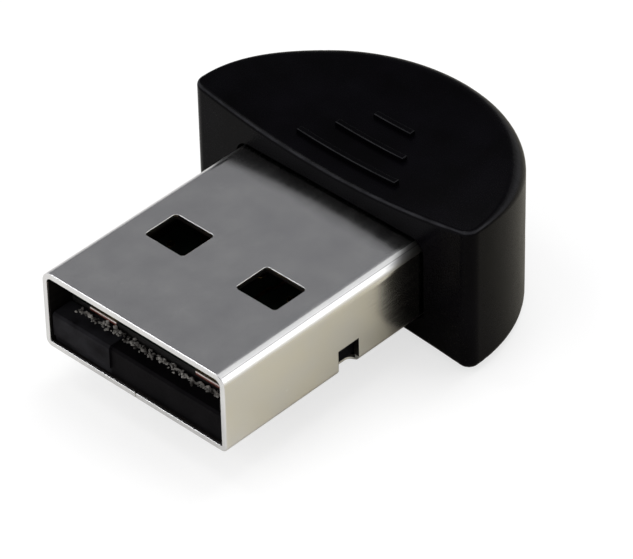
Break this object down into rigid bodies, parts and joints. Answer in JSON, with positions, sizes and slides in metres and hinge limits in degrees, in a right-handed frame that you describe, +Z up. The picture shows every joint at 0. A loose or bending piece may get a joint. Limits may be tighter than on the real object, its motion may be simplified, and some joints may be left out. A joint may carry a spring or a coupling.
{
  "type": "usb bluetooth adapter",
  "caption": "Small radio adapter: a bright folded steel USB type A plug in a black D-shaped housing with dished top and underside and raised grip bars.",
  "frame": {"origin": "centre of the plug's open end", "axes": "+Y from the plug's open end into the housing, +Z up with the contacts facing up, +X across the plug"},
  "size_m": [0.0182, 0.0228, 0.0086],
  "materials": {
    "housing_black": "satin",
    "shell_steel": "satin",
    "tongue_black": "satin",
    "board_mask": "gloss",
    "contact_gold": "polished",
    "chip_plastic": "matt",
    "can_metal": "satin",
    "led_lens": "gloss",
    "ceramic": "satin",
    "ferrite": "matt",
    "solder": "satin"
  },
  "bodies": {
    "root": {"upper_housing": "housing_black", "bottom_cover": "housing_black", "plug_shell": "shell_steel", "board_cradle": "tongue_black", "circuit_board": "board_mask", "power_contact": "contact_gold", "data_minus_contact": "contact_gold", "data_plus_contact": "contact_gold", "ground_contact": "contact_gold", "radio_chip": "chip_plastic", "memory_chip": "chip_plastic", "voltage_regulator": "chip_plastic", "crystal": "can_metal", "status_led": "led_lens", "chip_antenna": "ceramic", "antenna_filter": "ceramic", "ferrite_bead": "ferrite", "resistors": "chip_plastic", "capacitors": "ceramic", "shell_solder": "solder", "component_solder": "solder"}
  },
  "joints": []
}
